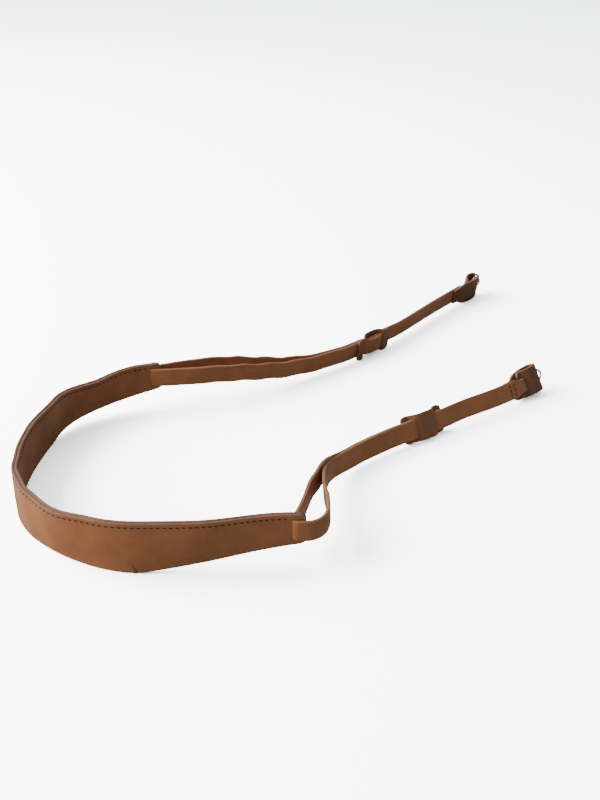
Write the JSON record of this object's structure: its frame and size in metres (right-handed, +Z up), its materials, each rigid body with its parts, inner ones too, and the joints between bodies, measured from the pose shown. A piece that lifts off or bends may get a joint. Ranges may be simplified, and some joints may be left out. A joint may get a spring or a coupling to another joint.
{
  "type": "camera neck strap",
  "caption": "Leather camera neck strap with a folded, sewn neck pad, two narrow straps, leather sliders and wire rings, lying in an open loop.",
  "frame": {"origin": "on the surface it lies on, under the middle of the bounding box", "axes": "+Z up from the surface, +X to the picture's right, +Y away from the viewer"},
  "size_m": [0.4084, 0.46, 0.0401],
  "materials": {
    "pad_leather": "smooth waxed brown leather, fine grain, lighter cut edges",
    "strap_leather": "smooth brown leather, lighter cut edges",
    "slider_leather": "smooth dark brown leather",
    "flap_leather": "smooth dark brown leather",
    "ring_wire": "bright plated steel wire"
  },
  "bodies": {
    "root": {"neck_pad": "pad_leather", "near_strap": "strap_leather", "far_strap": "strap_leather", "near_slider": "slider_leather", "far_slider": "slider_leather", "near_end_flap": "flap_leather", "far_end_flap": "flap_leather", "near_ring": "ring_wire", "far_ring": "ring_wire"}
  },
  "joints": []
}
